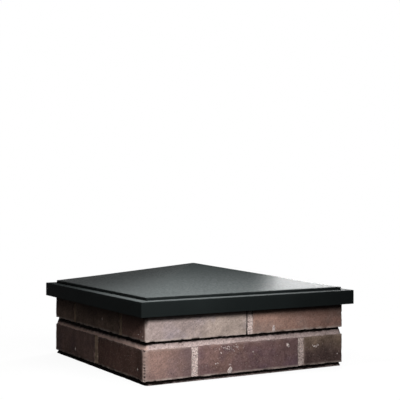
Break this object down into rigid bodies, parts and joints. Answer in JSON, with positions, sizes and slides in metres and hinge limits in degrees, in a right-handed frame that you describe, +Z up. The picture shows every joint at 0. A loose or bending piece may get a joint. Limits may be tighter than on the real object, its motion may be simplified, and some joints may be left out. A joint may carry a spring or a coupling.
{
  "type": "pier cap",
  "caption": "Low hipped sheet-metal cap with a stepped rim and deep fascia, bedded on the top brick courses of a square pier to shed rain and finish it off",
  "frame": {"origin": "centre of the underside, on the bed joint below the lower course", "axes": "+Z up through the tip of the hip, -Y out of the front face, +X to the right of the front face"},
  "size_m": [0.422, 0.422, 0.1788],
  "materials": {
    "powder_coat": "satin black powder coat on folded aluminium sheet",
    "brick_buff": "sanded face, pale grey buff, matt",
    "brick_brown": "sanded face, brown, matt",
    "brick_plum": "sanded face, plum brown, matt",
    "brick_charcoal": "sanded face, overburnt charcoal brown, matt",
    "mortar": "sandy lime and cement mortar, bed joints struck back, matt"
  },
  "bodies": {
    "root": {"pier_cap": "powder_coat", "brick_upper_front_left": "brick_buff", "brick_upper_cross_2": "brick_buff", "brick_lower_cross_1": "brick_buff", "brick_upper_front_right": "brick_brown", "brick_lower_left_front": "brick_brown", "brick_upper_back_left": "brick_brown", "brick_lower_right_back": "brick_brown", "brick_upper_cross_3": "brick_brown", "brick_lower_cross_4": "brick_plum", "brick_upper_cross_4": "brick_plum", "brick_lower_left_back": "brick_plum", "brick_upper_back_right": "brick_plum", "brick_lower_cross_2": "brick_plum", "brick_lower_right_front": "brick_charcoal", "brick_upper_cross_1": "brick_charcoal", "brick_lower_cross_3": "brick_charcoal", "mortar_bed_cap": "mortar", "mortar_bed_middle": "mortar", "mortar_bed_base": "mortar", "mortar_perpends_upper": "mortar", "mortar_perpends_lower": "mortar"}
  },
  "joints": []
}
